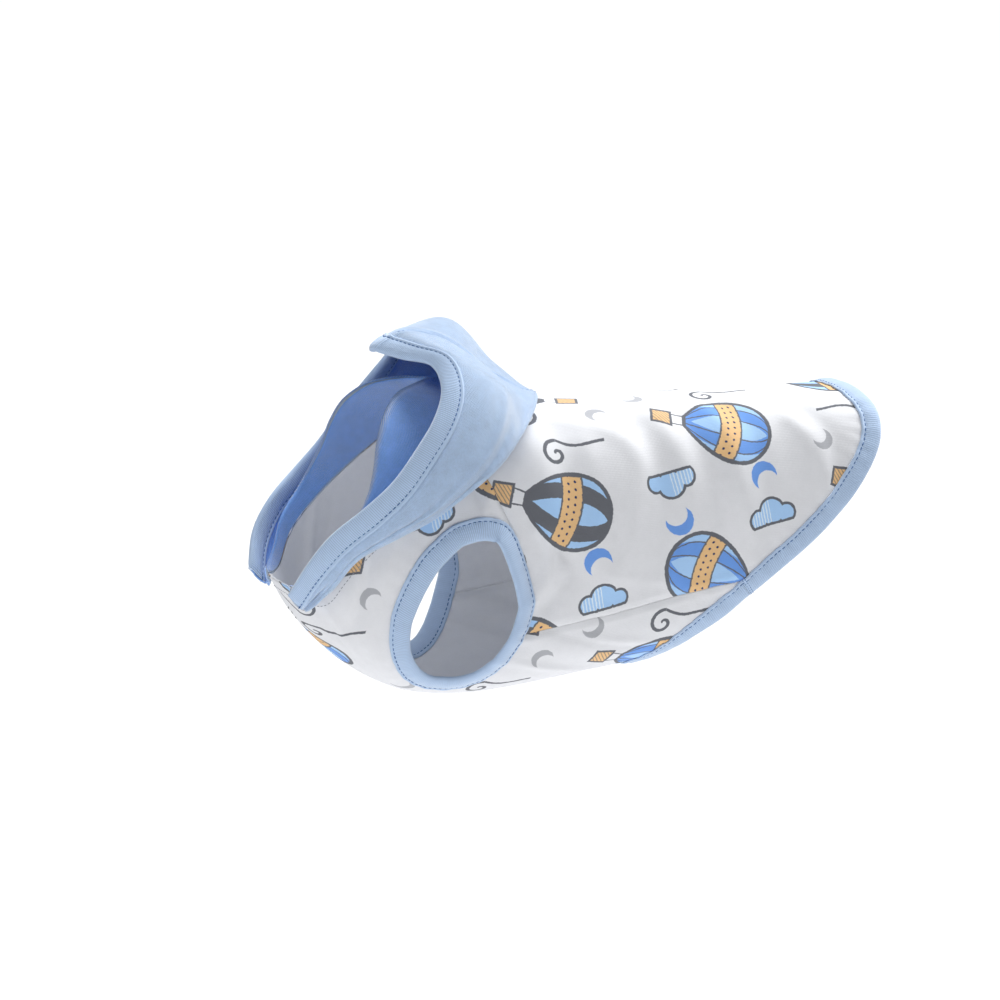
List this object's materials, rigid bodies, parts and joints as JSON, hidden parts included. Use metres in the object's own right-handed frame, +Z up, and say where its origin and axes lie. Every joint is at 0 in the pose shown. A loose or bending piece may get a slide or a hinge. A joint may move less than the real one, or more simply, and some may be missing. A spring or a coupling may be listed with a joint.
{
  "type": "hooded sleeveless pet top",
  "caption": "Sleeveless pet top in printed jersey with ribbed blue bindings and a plain blue hood worn down, shaped as it sits on a small four-legged wearer.",
  "frame": {"origin": "The inner face of the back panel, half way along the back on its top middle line: the place where the top lies on the wearer's back.", "axes": "+X runs along the back from the neck to the hem, +Y to the wearer's right, +Z up."},
  "size_m": [0.2758, 0.122, 0.1612],
  "materials": {
    "printed_jersey": "matt white cotton jersey with a grey, blue and tan print",
    "plain_jersey": "matt light blue cotton jersey",
    "ribbed_binding": "matt blue one by one rib, folded and coverstitched"
  },
  "bodies": {
    "root": {"back_panel": "printed_jersey", "chest_panel": "printed_jersey", "hood_left": "plain_jersey", "hood_right": "plain_jersey", "hood_binding": "ribbed_binding", "armhole_binding_left": "ribbed_binding", "armhole_binding_right": "ribbed_binding", "back_hem_binding": "ribbed_binding", "belly_hem_binding": "ribbed_binding"}
  },
  "joints": []
}
